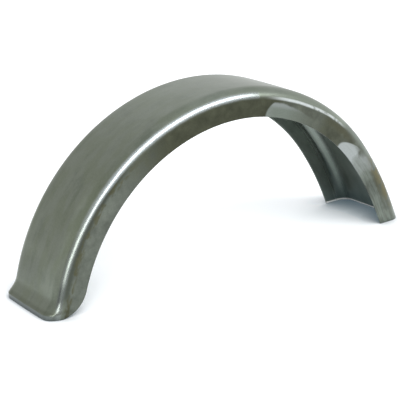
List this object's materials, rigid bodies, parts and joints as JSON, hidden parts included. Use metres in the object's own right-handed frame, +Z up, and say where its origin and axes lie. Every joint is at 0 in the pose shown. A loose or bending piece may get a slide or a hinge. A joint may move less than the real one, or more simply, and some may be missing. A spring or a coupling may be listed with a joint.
{
  "type": "motorcycle fender",
  "caption": "Bare steel motorcycle fender: a domed channel with flat skirts bent over the wheel as an arch, an outward flipped lip at one end and a plain cut end at the other.",
  "frame": {"origin": "on the floor, under the middle of the overall length and width", "axes": "+X along the wheel from the flipped lip towards the plain cut end, +Y across the wheel, +Z up to the crown"},
  "size_m": [0.7436, 0.152, 0.305],
  "materials": {
    "bare_steel": "satin bare pressed steel with faint stains and rust freckles"
  },
  "bodies": {
    "root": {"fender_shell": "bare_steel"}
  },
  "joints": []
}
